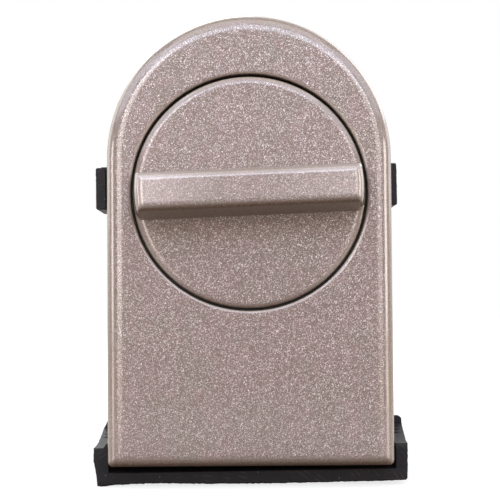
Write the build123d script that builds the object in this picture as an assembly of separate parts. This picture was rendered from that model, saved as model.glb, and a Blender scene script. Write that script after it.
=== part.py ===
from build123d import *

import math
import os

# Sliding window lock, in millimetres. It straddles a window rail from above. A quarter turn of
# the knob drives a face cam, and the cam pushes the moving jaw back against the rail.
# X runs across the lock, Y runs back from its face and Z runs up.
# Every depth below is measured back from the housing's front face, and every height from the
# underside of the tray at the foot that it leans about.

# Knob and the bar that the fingers turn
knob_radius = 13.6
knob_thickness = 2.5
knob_edge_round = 0.7
bar_height = 6.7
bar_width = 5.55
bar_end_gap = 0.15
bar_draft = 5.6
bar_round = 1.0
bar_corner_round = 0.9
bar_core_width = 2.4
bar_core_wall = 2.5
bar_core_inset = 5.0
bar_front_wall = 1.6
bar_rest_tilt = 2.1
knob_gap = 0.28
knob_drop = 4.17
recess_edge_round = 0.4

# Housing
cheek = 2.82
arch_height = 38.43
side_wall = 1.6
front_wall = 2.0
edge_round = 1.3
base_corner = 0.6
recess_floor = 2.0
recess_wall = 1.4
shaft_boss_height = 1.0
shaft_boss_wall = 2.0
roof_wall = 2.0
rail_seat_step = 0.4
rail_seat_gap = 0.3
inner_rib = 1.2
inner_rib_height = 1.0

# Spindle, bush and stop
spindle_radius = 3.5
spindle_drive_radius = 2.95
spindle_flats = 4.4
spindle_nose_radius = 1.8
spindle_nose_depth = 4.0
spindle_seat = 1.2
bush_wall = 0.95
bush_flange = 0.4
bush_flange_width = 1.3
running_gap = 0.05
knob_float = 0.1
stop_pin_radius = 1.0
stop_inset = 3.0
stop_groove_depth = 1.2
stop_gap = 0.1

# Face cam and the jaw's travel
quarter_turn = 90
stroke = 3.0
cam_radius = 6.4
cam_plate = 1.5
cam_hub_wall = 0.72
cam_hub_height = 0.6
cam_fit = 0.03
ramp_hub_gap = 0.25
ramp_gap = 0.1
ramp_land = 8
lobe_angle = 36
lobe_gap = 0.05
spring_washer_space = 0.5
spring_washer_thickness = 0.3
spring_washer_clearance = 0.25
spring_washer_margin = 0.6
spring_washer_slack = 0.02
roof_gap = 0.34

# Moving jaw
jaw_plate = 1.5
jaw_clearance = 0.8
jaw_gap = 0.2
jaw_inset = 0.2
jaw_top_gap = 0.3
jaw_top_round = 2.0
tray_floor = 1.6
tray_gap = 0.7
tray_side_gap = 0.4
tray_wall = 1.5
tray_front = 3.2
tray_wall_front_height = 4.53
tray_wall_back_height = 6.05
tray_wall_sag = 0.42
tray_flange_height = 6.85
tray_flange_round = 0.45
tray_flange_cut = (0.45, 0.95)
tray_skew_left = 0.2
tray_skew_right = 0.4
ear_gap = 0.0343
ear_thickness = 1.25
ear_front = 6.6
ear_drop = 2.9
ear_height = 5.1
ear_web_rise = 0.75
ear_web_foot = 0.13
ear_round = 0.25
jaw_rib = 1.2
jaw_rib_height = 2.2
jaw_rib_gap = 0.5
jaw_lean = 0.55
jaw_lean_foot = 9.0

# What trimming took off the moulding: inwards and upwards from the tray's two lower corners, and
# up from its underside at fractions of the tray's half width
tray_trim_left = ((0, 2.9), (0.27, 1.4), (0.4, 0))
tray_trim_right = ((0, 4.0), (0.1, 0.4), (0.3, 0.15))
underside_trim = (
    (-0.94, 0),
    (-0.9, 0.05),
    (-0.77, 0.21),
    (-0.58, 0.23),
    (-0.32, 0.1),
    (-0.02, 0.02),
    (0.32, 0.02),
    (0.57, 0.07),
    (0.89, 0.09),
    (0.93, 0.15),
    (1, 0.15),
)

# Guides of the moving jaw
guide_cup_gap = 0.58
guide_foot = 2.5
guide_foot_radius = 3.2
guide_foot_skin = 0.8
sleeve_radius = 2.0
sleeve_fit = 0.1
cup_start_gap = 0.5
cup_floor = 1.2
cup_radius = 3.3
cup_wall = 1.1
cup_side_gap = 0.5
guide_head_radius = 2.9
guide_head_height = 1.2
spring_wire = 0.5
spring_mean_radius = 2.55
spring_turns = 4.5
spring_runs_per_turn = 12
spring_sides = 6

# Rail slot, rear jaw and grip pads
slot_open = 6.2
pad_thickness = 1.3
pad_pocket = 0.5
pad_edge_gap = 0.05
pad_corner = 1.5
pad_side_margin = 1.9
pad_bottom = 3.2
pad_top_margin = 3.0
pad_groove_pitch = 1.6
pad_groove_width = 0.7
pad_groove_depth = 0.35
rear_jaw_thickness = 2.8
rear_jaw_round = 0.8
rear_jaw_base_round = 1.2

# Screws
small_screw_radius = 1.25
small_screw_clearance = 0.1
cam_screw_length = 4.0
cam_screw_head_radius = 2.4
cam_screw_head_height = 1.5
cam_washer_thickness = 0.5
cam_washer_inset = 0.3
rear_screw_radius = 1.5
rear_screw_head_radius = 2.8
rear_screw_length = 9.0
rear_screw_clearance = 0.15
rear_boss_radius = 3.1
rear_boss_overlap = 0.1
thread_end_gap = 0.6
cross_length = 2.6
cross_width = 0.6
cross_depth = 0.9
cross_taper = 12

# Depths that follow from the stack of pieces along the spindle
recess_depth = knob_thickness + knob_float + bush_flange
floor_back = recess_depth + recess_floor
shaft_boss_back = floor_back + shaft_boss_height
cam_front = shaft_boss_back + spring_washer_space
cam_back = cam_front + cam_plate
cam_hub_back = cam_back + cam_hub_height
ramp_height = stroke * (quarter_turn + lobe_angle) / quarter_turn
jaw_front = cam_back + ramp_height + jaw_clearance
jaw_back = jaw_front + jaw_plate
housing_depth = jaw_front - jaw_gap
pad_proud = pad_thickness - pad_pocket
rear_jaw_front = jaw_back + pad_proud + slot_open + pad_proud
rail_seat_front = jaw_back + pad_proud + stroke + rail_seat_gap
rear_jaw_back = rear_jaw_front + rear_jaw_thickness
guide_foot_back = front_wall + guide_foot
cup_front = guide_foot_back + cup_start_gap
cup_seat = cup_front + cup_floor
guide_head_front = jaw_front

# Widths and heights that follow from the knob and the housing
recess_radius = knob_radius + knob_gap
half_width = recess_radius + cheek
inner_half_width = half_width - side_wall
tray_inner = half_width + tray_side_gap
tray_half_width = tray_inner + tray_wall
jaw_half_width = half_width - jaw_inset
housing_base = tray_floor + tray_gap
knob_height = arch_height - knob_drop
slot_roof = knob_height + cam_radius + roof_gap
jaw_top = slot_roof - jaw_top_gap
ear_top = slot_roof - ear_drop
ear_inner = half_width + ear_gap + ear_top * math.sin(math.radians(jaw_lean))
ear_half_width = ear_inner + ear_thickness
bush_radius = spindle_radius + running_gap + bush_wall
bush_flange_radius = bush_radius + bush_flange_width
shaft_boss_radius = bush_radius + shaft_boss_wall
spring_washer_inner = spindle_radius + spring_washer_clearance
spring_washer_outer = shaft_boss_radius - spring_washer_margin
cam_hub_radius = spindle_drive_radius + cam_fit + cam_hub_wall
cam_washer_radius = cam_hub_radius - cam_washer_inset
ramp_inner_radius = cam_hub_radius + ramp_hub_gap
stop_radius = knob_radius - stop_inset
bar_core_start = spindle_nose_radius + bar_core_wall
bar_core_end = knob_radius - bar_core_inset
guide_height = knob_height - recess_radius - recess_wall - guide_cup_gap - cup_wall - cup_radius
guide_x = inner_half_width - cup_side_gap - cup_wall - cup_radius
rear_screw_height = slot_roof + roof_wall + rear_boss_radius - rear_boss_overlap
rear_boss_arm = inner_half_width - rear_boss_radius + rear_boss_overlap
rear_screw_x = math.sqrt(rear_boss_arm**2 - (rear_screw_height - arch_height) ** 2)

# The moving jaw's outside leans a little, so that the tray's left corner is the lock's lowest point
tray_left_foot = tray_half_width - tray_trim_left[-1][0]
tray_drop = (tray_left_foot + jaw_lean_foot) * math.sin(math.radians(jaw_lean))

# The lock is centred on the middle of its whole depth, and stands on its lowest point
frame = Pos(0, (bar_height - rear_jaw_back) / 2, tray_drop)

knob_axis = Axis((0, 0, knob_height), (0, 1, 0))
knob_section = Plane.XY.offset(knob_height)
beyond = 1.0


def facing(depth):
    """Plane across the lock at a depth, with X to the right and the sketch's Y up."""
    return Plane.XZ.offset(-depth)


def slab(outline, front, back):
    """Front-view outline made solid between two depths."""
    return extrude(facing(front) * outline, amount=front - back)


def along_knob(depth):
    """Plane across the knob's axis that looks back, so that its angles grow clockwise from the front."""
    return Plane(origin=(0, depth, knob_height), x_dir=(1, 0, 0), z_dir=(0, 1, 0))


def polygon(*points):
    """Closed face through a few points."""
    return make_face(Polyline(*points, close=True))


def turned(section, axis=knob_axis):
    """Solid of revolution from a section of radius and depth."""
    return revolve(section, axis)


def tube(outer, inner, front, back, x=0, z=knob_height):
    """Round tube or rod along Y."""
    ring = Circle(outer) - Circle(inner) if inner else Circle(outer)
    return slab(Pos(x, z) * ring, front, back)


def box(x_range, y_range, z_range):
    """Block between named limits."""
    size = [high - low for low, high in (x_range, y_range, z_range)]
    centre = [(low + high) / 2 for low, high in (x_range, y_range, z_range)]
    return Pos(*centre) * Box(*size)


def arch(half, base, corner=0.0):
    """Front-view outline of the lock: straight sides under a half circle."""
    straight = arch_height - base
    outline = Pos(0, arch_height) * Circle(half)
    outline += Pos(0, arch_height - straight / 2) * Rectangle(2 * half, straight)
    if corner:
        feet = outline.vertices().group_by(Axis.Y)[0]
        outline = fillet(feet, corner)
    return outline


def sector(inner, outer, start, size):
    """Part of a ring, in degrees clockwise from the right as seen from the front."""
    inner_arc = CenterArc((0, 0), inner, start, size)
    outer_arc = CenterArc((0, 0), outer, start, size)
    ends = [Line(inner_arc @ end, outer_arc @ end) for end in (0, 1)]
    return make_face([inner_arc, outer_arc, *ends])


def mirrored(solid):
    """A piece's feature and its twin on the other side."""
    return solid + mirror(solid, Plane.YZ)


def cross_recess(depth, x, z):
    """Cross recess of a screw head that faces the back."""
    cross = Rectangle(cross_length, cross_width) + Rectangle(cross_width, cross_length)
    return extrude(facing(depth) * (Pos(x, z) * cross), amount=cross_depth, taper=cross_taper)


def helical_ramp(foot_angle, lift):
    """Solid under a helical ramp that climbs one stroke in a quarter turn, and falls clockwise.

    Its face crosses the base plane at foot_angle when lift is 0. A wider ring than the cam's is
    twisted as it rises, and the cam's own ring trims it.
    """
    slope = stroke / quarter_turn
    rise = ramp_height + 1.0
    reach = quarter_turn + lobe_angle + 2 * ramp_land
    margin = 0.4
    foot = foot_angle + lift / slope
    ring = sector(ramp_inner_radius - margin, cam_radius + margin, foot - reach, reach)
    return Solid.extrude_linear_with_rotation(
        ring.face(), center=(0, 0, 0), normal=(0, 0, rise), angle=-rise / slope
    )


def make_housing():
    """Die-cast shell with the knob's recess in front and the bridge over the rail slot behind."""
    # One section goes round the arch and down both sides, and its front edge is rounded
    section = polygon(
        (0, 0), (half_width, 0), (half_width, rear_jaw_front), (0, rear_jaw_front)
    )
    section = fillet(section.vertices().sort_by_distance((half_width, 0))[0], edge_round)
    at_arch = Plane.XY.offset(arch_height)
    head = revolve(at_arch * section, Axis((0, 0, arch_height), (0, -1, 0)), 180)
    whole = at_arch * (section + mirror(section, Plane.YZ))
    shell = head + extrude(whole, amount=arch_height - housing_base, dir=(0, 0, -1))

    # The foot has the same rounding along its front, and its corners are eased
    corner = polygon(
        (-beyond, housing_base - beyond),
        (edge_round, housing_base - beyond),
        (edge_round, housing_base + edge_round),
        (-beyond, housing_base + edge_round),
    )
    corner -= Pos(edge_round, housing_base + edge_round) * Circle(edge_round)
    shell -= extrude(Plane.YZ * corner, amount=half_width + beyond, both=True)
    shell = fillet(shell.edges().filter_by(Axis.Y).group_by(Axis.Z)[0], base_corner)

    # Behind the body only the bridge above the slot is left
    wide = half_width + beyond
    under_bridge = box((-wide, wide), (housing_depth, rear_jaw_front + beyond), (0, slot_roof))
    shell -= under_bridge

    # Hollow body below the roof, and hollow bridge above it
    inside = arch(inner_half_width, housing_base + side_wall, base_corner)
    hollow = slab(inside, front_wall, rear_jaw_front + beyond)
    roof = box((-wide, wide), (front_wall, rear_jaw_front + beyond), (slot_roof, slot_roof + roof_wall))
    shell -= hollow - roof

    # The recess is a cup in the hollow, with a boss for the spindle's bush
    cup = tube(recess_radius + recess_wall, 0, front_wall, floor_back)
    cup += tube(shaft_boss_radius, 0, front_wall, shaft_boss_back)
    cup &= slab(arch(half_width - side_wall / 2, housing_base), 0, rear_jaw_front)
    shell += cup

    # The rail's top edge bears on a land under the roof, behind the jaw's travel
    land = box(
        (-wide, wide),
        (rail_seat_front, rear_jaw_front),
        (slot_roof - rail_seat_step, slot_roof + roof_wall / 2),
    )
    shell += land & slab(arch(half_width, housing_base), 0, rear_jaw_front)

    # Feet for the guides and a rib between them
    foot = tube(guide_foot_radius, 0, front_wall / 2, guide_foot_back, guide_x, guide_height)
    shell += mirrored(foot)
    shell += box(
        (-guide_x, guide_x),
        (front_wall / 2, front_wall + inner_rib_height),
        (guide_height - inner_rib / 2, guide_height + inner_rib / 2),
    )
    rear_boss = tube(
        rear_boss_radius, 0, floor_back - front_wall, rear_jaw_front, rear_screw_x, rear_screw_height
    )
    shell += mirrored(rear_boss)

    # Recess, with its front edge rounded over
    lip = recess_edge_round
    dip = lip * math.sqrt(0.5)
    wall = Polyline(
        (recess_radius, lip),
        (recess_radius, recess_depth),
        (0, recess_depth),
        (0, -beyond),
        (recess_radius + lip, -beyond),
        (recess_radius + lip, 0),
    )
    lip_arc = ThreePointArc(
        (recess_radius + lip, 0),
        (recess_radius + lip - dip, lip - dip),
        (recess_radius, lip),
    )
    shell -= turned(knob_section * make_face([*wall.edges(), lip_arc]))

    # Holes for the bush, the stop pin and the screws
    shell -= tube(bush_radius, 0, 0, shaft_boss_back + beyond)
    shell -= tube(stop_pin_radius, 0, 0, floor_back + beyond, 0, knob_height - stop_radius)
    guide_hole = tube(
        small_screw_radius, 0, guide_foot_skin, guide_foot_back + beyond, guide_x, guide_height
    )
    rear_hole = tube(
        rear_screw_radius,
        0,
        rear_jaw_back - rear_screw_length - thread_end_gap,
        rear_jaw_front + beyond,
        rear_screw_x,
        rear_screw_height,
    )
    return shell - mirrored(guide_hole) - mirrored(rear_hole)


def make_knob():
    """Round plate, flush with the housing, with a drafted bar across it that is cored from behind."""
    rim = polygon((0, 0), (knob_radius, 0), (knob_radius, knob_thickness), (0, knob_thickness))
    rim = fillet(rim.vertices().sort_by_distance((knob_radius, 0))[0], knob_edge_round)
    plate = turned(knob_section * rim)

    across = Circle(knob_radius - bar_end_gap) & Rectangle(2 * knob_radius, bar_width)
    across = fillet(across.vertices(), bar_corner_round)
    buried = knob_thickness / 2
    bar = extrude(Plane.XZ * across, amount=bar_height, taper=bar_draft)
    bar = fillet(bar.faces().sort_by(Axis.Y)[0].edges(), bar_round)
    bar += extrude(Plane.XZ * across, amount=-buried)

    core_depth = bar_height - bar_front_wall + knob_thickness
    core_length = bar_core_end - bar_core_start
    core = Pos((bar_core_start + bar_core_end) / 2, 0) * SlotOverall(core_length, bar_core_width)
    core = extrude(facing(knob_thickness) * core, amount=core_depth, taper=bar_draft / 2)
    bar_place = Pos(0, 0, knob_height) * Rot(0, -bar_rest_tilt, 0)
    knob = plate + bar_place * bar - bar_place * mirrored(core)

    knob -= tube(spindle_nose_radius, 0, -spindle_nose_depth, knob_thickness)
    knob -= tube(spindle_radius, 0, knob_thickness - spindle_seat, knob_thickness)

    path = CenterArc((0, 0), stop_radius, 90 - quarter_turn, quarter_turn)
    groove = SlotArc(path, 2 * (stop_pin_radius + stop_gap))
    knob -= extrude(along_knob(knob_thickness) * groove, amount=-stop_groove_depth)
    return knob


def double_flat(radius, flats):
    """Round section with two flats."""
    return Circle(radius) & Rectangle(flats, 2 * radius)


def make_spindle():
    """Turned spindle: nose pressed into the knob, journal for the bush, and a slimmer end with two
    flats for the cam, which seats on the shoulder."""
    spindle = tube(spindle_nose_radius, 0, -spindle_nose_depth, knob_thickness)
    spindle += tube(spindle_radius, 0, knob_thickness - spindle_seat, cam_front)
    flats = double_flat(spindle_drive_radius, spindle_flats)
    spindle += slab(Pos(0, knob_height) * flats, cam_front, cam_hub_back - running_gap)
    end = cam_hub_back - cam_screw_length
    return spindle - tube(small_screw_radius, 0, end, cam_hub_back)


def make_knob_bush():
    """Flanged plain bush, pressed into the recess floor."""
    journal = spindle_radius + running_gap
    bush = tube(bush_radius, journal, recess_depth, shaft_boss_back)
    return bush + tube(bush_flange_radius, journal, recess_depth - bush_flange, recess_depth)


def make_stop_pin():
    """Pin pressed into the recess floor, whose end runs in the knob's groove."""
    front = knob_thickness - stop_groove_depth + stop_gap
    pin = tube(stop_pin_radius, 0, front, floor_back, 0, knob_height - stop_radius)
    return chamfer(pin.edges().filter_by(GeomType.CIRCLE), stop_pin_radius / 5)


def make_spring_washer():
    """Dished washer that takes up the play between the boss and the cam."""
    front = shaft_boss_back
    back = cam_front - spring_washer_slack
    dish = polygon(
        (spring_washer_inner, back - spring_washer_thickness),
        (spring_washer_inner, back),
        (spring_washer_outer, front + spring_washer_thickness),
        (spring_washer_outer, front),
    )
    return turned(knob_section * dish)


def make_cam():
    """Face cam with two helical ramps, half a turn apart, each ending in a flat land."""
    cam = tube(cam_radius, 0, cam_front, cam_back)
    cam += tube(cam_hub_radius, 0, cam_front, cam_hub_back)
    span = quarter_turn + lobe_angle + ramp_land
    for lobe_start in lobe_starts():
        foot = lobe_start + lobe_angle
        ring = sector(ramp_inner_radius, cam_radius - ramp_gap, foot - span, span)
        block = extrude(ring, amount=ramp_height)
        cam += along_knob(cam_back) * (block & helical_ramp(foot, 0))
    flats = double_flat(spindle_drive_radius + cam_fit, spindle_flats + 2 * cam_fit)
    return cam - slab(Pos(0, knob_height) * flats, cam_front, cam_hub_back)


def lobe_starts():
    """Angles where the jaw's two lobes start: they sit level with the spindle, left and right."""
    return [side - lobe_angle / 2 for side in (0, 180)]


def make_cam_washer():
    """Flat washer under the cam's screw."""
    hole = small_screw_radius + small_screw_clearance
    return tube(cam_washer_radius, hole, cam_hub_back, cam_hub_back + cam_washer_thickness)


def pan_screw(head_front, head_radius, head_height, shank_front, x, z):
    """Pan-head screw that is driven from the back."""
    axis = Axis((x, 0, z), (0, 1, 0))
    crown = head_height / 2
    head = polygon(
        (0, head_front),
        (head_radius, head_front),
        (head_radius, head_front + head_height),
        (0, head_front + head_height),
    )
    edge = head.vertices().sort_by_distance((head_radius, head_front + head_height))[0]
    head = fillet(edge, crown)
    screw = turned(Pos(x, 0, z) * head, axis)
    screw += tube(small_screw_radius, 0, shank_front, head_front, x, z)
    return screw - cross_recess(head_front + head_height, x, z)


def make_cam_screw():
    """Screw that holds the cam on the spindle."""
    seat = cam_hub_back + cam_washer_thickness
    tip = cam_hub_back - cam_screw_length + thread_end_gap
    return pan_screw(seat, cam_screw_head_radius, cam_screw_head_height, tip, 0, knob_height)


def make_guide_screw(x):
    """Flange-head screw that clamps a sleeve on its foot and holds the return spring."""
    tip = guide_foot_skin + thread_end_gap
    return pan_screw(guide_head_front, guide_head_radius, guide_head_height, tip, x, guide_height)


def make_guide_sleeve(x):
    """Spacer sleeve that the jaw slides on."""
    hole = small_screw_radius + small_screw_clearance
    return tube(sleeve_radius, hole, guide_foot_back, guide_head_front, x, guide_height)


def make_return_spring(x):
    """Compression spring between the guide screw's head and the floor of the jaw's cup."""
    length = guide_head_front - cup_seat - spring_wire
    runs = int(spring_turns * spring_runs_per_turn)
    points = []
    for run in range(runs + 1):
        angle = 2 * math.pi * run / spring_runs_per_turn
        x_side, y_side = spring_mean_radius * math.cos(angle), spring_mean_radius * math.sin(angle)
        points.append((x_side, y_side, length * run / runs))
    coil = Polyline(*points)
    end = Plane(origin=coil @ 0, z_dir=coil % 0)
    section = RegularPolygon(spring_wire / 2, spring_sides)
    wire = sweep(end * section, path=coil, transition=Transition.RIGHT)
    seat = Plane(
        origin=(x, cup_seat + spring_wire / 2, guide_height), x_dir=(1, 0, 0), z_dir=(0, 1, 0)
    )
    return seat * wire


def tray_wall_side():
    """Side view of a tray wall: its top curves up towards the back."""
    front_top = (tray_front, tray_wall_front_height)
    back_top = (jaw_front, tray_wall_back_height)
    middle = (
        (tray_front + jaw_front) / 2,
        (tray_wall_front_height + tray_wall_back_height) / 2 - tray_wall_sag,
    )
    top = ThreePointArc(front_top, middle, back_top)
    end = jaw_front + jaw_plate / 2
    rest = Polyline(
        back_top, (end, tray_wall_back_height), (end, 0), (tray_front, 0), front_top
    )
    return make_face([top, *rest.edges()])


def tray_wall_solid(side, skew):
    """Wall on one side of the tray, which stands further right as it runs back."""
    shift = skew * (jaw_back - tray_front) / (jaw_front - tray_front)
    inner, outer = side * tray_inner, side * tray_half_width
    plan = polygon(
        (inner, tray_front),
        (outer, tray_front),
        (outer + shift, jaw_back),
        (inner + shift, jaw_back),
    )
    wide = tray_half_width + beyond
    wall = extrude(plan, amount=tray_flange_height)
    return wall & extrude(Plane.YZ * tray_wall_side(), amount=wide, both=True)


def tray_trimmings():
    """What trimming took off the tray's two lower corners and its underside."""
    wide = tray_half_width + beyond
    cuts = []
    for side, skew, trim in ((-1, tray_skew_left, tray_trim_left), (1, tray_skew_right, tray_trim_right)):
        corner = [(side * (tray_half_width - inwards), up) for inwards, up in trim]
        outside = [(side * wide, trim[-1][1] - beyond), (side * wide, trim[0][1])]
        foot = (corner[-1][0], trim[-1][1] - beyond)
        cut = slab(polygon(*corner, foot, *outside), tray_front - beyond, jaw_back + beyond)
        turn = math.degrees(math.atan2(skew, jaw_front - tray_front))
        pivot = Pos(side * tray_half_width, tray_front, 0)
        cuts.append(pivot * Rot(0, 0, -turn) * pivot.inverse() * cut)
    below = [(place * tray_half_width, up) for place, up in underside_trim]
    below += [(wide, underside_trim[-1][1]), (wide, -beyond), (below[0][0], -beyond)]
    return [*cuts, slab(polygon(*below), tray_front - beyond, jaw_back + beyond)]


def make_moving_jaw():
    """Moulded jaw: plate behind the housing, tray under it, ears beside it and lobes for the cam."""
    plate = Pos(0, jaw_top / 2) * Rectangle(2 * jaw_half_width, jaw_top)
    plate = fillet(plate.vertices().group_by(Axis.Y)[-1], jaw_top_round)
    left, right = tray_skew_left - tray_half_width, tray_skew_right + tray_half_width
    cut_width, cut_height = tray_flange_cut
    wings = polygon(
        (left, 0),
        (right, 0),
        (right, tray_flange_height),
        (left + cut_width, tray_flange_height),
        (left, tray_flange_height - cut_height),
    )
    corner = wings.vertices().sort_by_distance((right, tray_flange_height))[0]
    wings = fillet(corner, tray_flange_round)
    web_low, web_high = ear_top - ear_height + ear_web_foot, ear_top + ear_web_rise
    web = Pos(0, (web_low + web_high) / 2) * Rectangle(2 * ear_half_width, web_high - web_low)
    jaw = slab(plate + wings + web, jaw_front, jaw_back)

    wall_middle = (tray_inner + tray_half_width) / 2
    jaw += box((-wall_middle, wall_middle), (tray_front, jaw_front), (0, tray_floor))
    jaw += tray_wall_solid(-1, tray_skew_left) + tray_wall_solid(1, tray_skew_right)
    for cut in tray_trimmings():
        jaw -= cut

    ear = box((ear_inner, ear_half_width), (ear_front, jaw_back), (ear_top - ear_height, ear_top))
    jaw += mirrored(fillet(ear.edges().filter_by(Axis.Y), ear_round))
    lean_foot = Pos(jaw_lean_foot, 0, 0)
    jaw = lean_foot * Rot(0, -jaw_lean, 0) * lean_foot.inverse() * jaw

    # Ribs tie the two cups and the lobes together on the side that faces the housing
    cup = tube(cup_radius + cup_wall, 0, cup_front, jaw_back, guide_x, guide_height)
    low, high = housing_base + side_wall + jaw_rib_gap, knob_height - cam_radius
    for x in (-guide_x, guide_x):
        jaw += box(
            (x - jaw_rib / 2, x + jaw_rib / 2), (jaw_front - jaw_rib_height, jaw_front), (low, high)
        )
    jaw += box(
        (-guide_x, guide_x),
        (jaw_front - jaw_rib_height, jaw_front),
        (guide_height - jaw_rib / 2, guide_height + jaw_rib / 2),
    )
    jaw += mirrored(cup)
    for start in lobe_starts():
        ring = sector(ramp_inner_radius, cam_radius - ramp_gap, start, lobe_angle)
        block = extrude(ring, amount=jaw_front - cam_back)
        jaw += along_knob(cam_back) * (block - helical_ramp(start + lobe_angle, lobe_gap))

    # Spring cups, open to the slot, and the guides' holes through their floors
    pocket = tube(cup_radius, 0, cup_seat, jaw_back + beyond, guide_x, guide_height)
    hole = tube(sleeve_radius + sleeve_fit, 0, cup_front - beyond, cup_seat, guide_x, guide_height)
    jaw -= mirrored(pocket + hole)
    return jaw - slab(pad_outline(0), jaw_back - pad_pocket, jaw_back + beyond)


def pad_outline(inset):
    """Front-view outline of a grip pad, or of its pocket when inset is 0."""
    half = jaw_half_width - pad_side_margin - inset
    top = slot_roof - pad_top_margin - inset
    bottom = pad_bottom + inset
    sheet = Pos(0, (top + bottom) / 2) * Rectangle(2 * half, top - bottom)
    return fillet(sheet.vertices(), pad_corner - inset)


def grip_pad(seat, towards_back, holes):
    """Rubber pad in its pocket, with upright grooves across the face that grips the rail."""
    turn = 1 if towards_back else -1
    face = seat + turn * pad_thickness
    outline = pad_outline(pad_edge_gap)
    pad = slab(outline, min(seat, face), max(seat, face))
    half = jaw_half_width - pad_side_margin
    count = int(half / pad_groove_pitch)
    floor = face - turn * pad_groove_depth
    for step in range(-count, count + 1):
        x = step * pad_groove_pitch
        pad -= box(
            (x - pad_groove_width / 2, x + pad_groove_width / 2),
            sorted((floor, face + turn * beyond)),
            (pad_bottom, slot_roof - pad_top_margin),
        )
    for hole in holes:
        pad -= hole
    return pad


def make_jaw_grip_pad():
    """Pad on the moving jaw, open over the two spring cups."""
    seat = jaw_back - pad_pocket
    hole = tube(cup_radius, 0, seat - beyond, jaw_back + pad_proud + beyond, guide_x, guide_height)
    return grip_pad(seat, True, [mirrored(hole)])


def make_rear_grip_pad():
    """Pad on the rear jaw."""
    return grip_pad(rear_jaw_front + pad_pocket, False, [])


def make_rear_jaw():
    """Plate behind the rail, with the housing's outline and two countersunk holes."""
    outline = arch(half_width, -tray_drop, rear_jaw_base_round)
    plate = slab(outline, rear_jaw_front, rear_jaw_back)
    plate = fillet(plate.faces().sort_by(Axis.Y)[-1].edges(), rear_jaw_round)
    plate -= slab(pad_outline(0), rear_jaw_front - beyond, rear_jaw_front + pad_pocket)
    for x in (-rear_screw_x, rear_screw_x):
        hole = rear_screw_radius + rear_screw_clearance
        plate -= tube(hole, 0, rear_jaw_front - beyond, rear_jaw_back, x, rear_screw_height)
        plate -= countersunk_head(x)
    return plate


def countersunk_head(x):
    """Cone of a rear screw's head, flush with the rear jaw's back."""
    cone = polygon(
        (0, rear_jaw_back - rear_screw_head_radius),
        (rear_screw_head_radius, rear_jaw_back),
        (0, rear_jaw_back),
    )
    axis = Axis((x, 0, rear_screw_height), (0, 1, 0))
    return turned(Pos(x, 0, rear_screw_height) * cone, axis)


def make_rear_jaw_screw(x):
    """Countersunk screw that fixes the rear jaw to the bridge."""
    tip = rear_jaw_back - rear_screw_length
    shank = tube(rear_screw_radius, 0, tip, rear_jaw_back, x, rear_screw_height)
    reach = rear_screw_head_radius + beyond
    flush = box(
        (x - reach, x + reach),
        (tip, rear_jaw_back),
        (rear_screw_height - reach, rear_screw_height + reach),
    )
    screw = (shank + countersunk_head(x)) & flush
    return screw - cross_recess(rear_jaw_back, x, rear_screw_height)


pieces = {
    "housing": make_housing(),
    "knob": make_knob(),
    "spindle": make_spindle(),
    "knob_bush": make_knob_bush(),
    "stop_pin": make_stop_pin(),
    "spring_washer": make_spring_washer(),
    "cam": make_cam(),
    "cam_washer": make_cam_washer(),
    "cam_screw": make_cam_screw(),
    "moving_jaw": make_moving_jaw(),
    "jaw_grip_pad": make_jaw_grip_pad(),
    "rear_jaw": make_rear_jaw(),
    "rear_grip_pad": make_rear_grip_pad(),
}
for side, sign in (("left", -1), ("right", 1)):
    pieces[f"guide_screw_{side}"] = make_guide_screw(sign * guide_x)
    pieces[f"guide_sleeve_{side}"] = make_guide_sleeve(sign * guide_x)
    pieces[f"return_spring_{side}"] = make_return_spring(sign * guide_x)
    pieces[f"rear_jaw_screw_{side}"] = make_rear_jaw_screw(sign * rear_screw_x)

os.makedirs("parts", exist_ok=True)
for name, piece in pieces.items():
    export_step(frame * piece, f"parts/{name}.step")
    print(name, round(piece.volume, 2))
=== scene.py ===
# %% [markdown]
# # Sliding window lock
# This lesson dresses a finished mechanical model of a clamp-on window lock. The model is loaded
# as it is, and nothing in it is moved. What we add here is what a camera sees: the paint, the
# moulding's rough edges, the coiled springs, the light and the camera.
#
# All lengths are in metres. X runs to the right across the lock, Y runs from its face back
# through it, and Z runs up. The lock stands on Z = 0.

# %% Load the model
import bpy
import bmesh
import math
from mathutils import Matrix, Vector, noise


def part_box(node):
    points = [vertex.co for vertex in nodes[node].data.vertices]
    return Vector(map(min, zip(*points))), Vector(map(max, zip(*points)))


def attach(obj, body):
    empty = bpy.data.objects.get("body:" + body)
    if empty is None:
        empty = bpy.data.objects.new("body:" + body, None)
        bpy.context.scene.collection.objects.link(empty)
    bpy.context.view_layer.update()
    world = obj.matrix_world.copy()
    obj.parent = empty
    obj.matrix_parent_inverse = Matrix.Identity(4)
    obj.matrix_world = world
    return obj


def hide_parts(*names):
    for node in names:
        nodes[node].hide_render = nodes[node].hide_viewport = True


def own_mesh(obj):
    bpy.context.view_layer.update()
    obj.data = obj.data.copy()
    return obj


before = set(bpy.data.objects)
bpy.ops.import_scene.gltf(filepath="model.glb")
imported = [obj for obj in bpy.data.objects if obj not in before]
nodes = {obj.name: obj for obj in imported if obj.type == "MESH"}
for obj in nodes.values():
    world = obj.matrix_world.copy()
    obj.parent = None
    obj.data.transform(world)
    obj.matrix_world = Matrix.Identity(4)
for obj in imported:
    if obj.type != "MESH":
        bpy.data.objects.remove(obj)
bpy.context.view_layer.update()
mm = 0.001

# %% [markdown]
# ## Where things are
# Sizes are read from the model's own boxes, so the dressing follows the model. The cover's flat
# face is the front of the housing, the bar on the knob stands out in front of it, and the black
# jaw reaches lower and wider than the cover. The cover's top is a half circle, so its centre lies
# half a width below the top.

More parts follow.
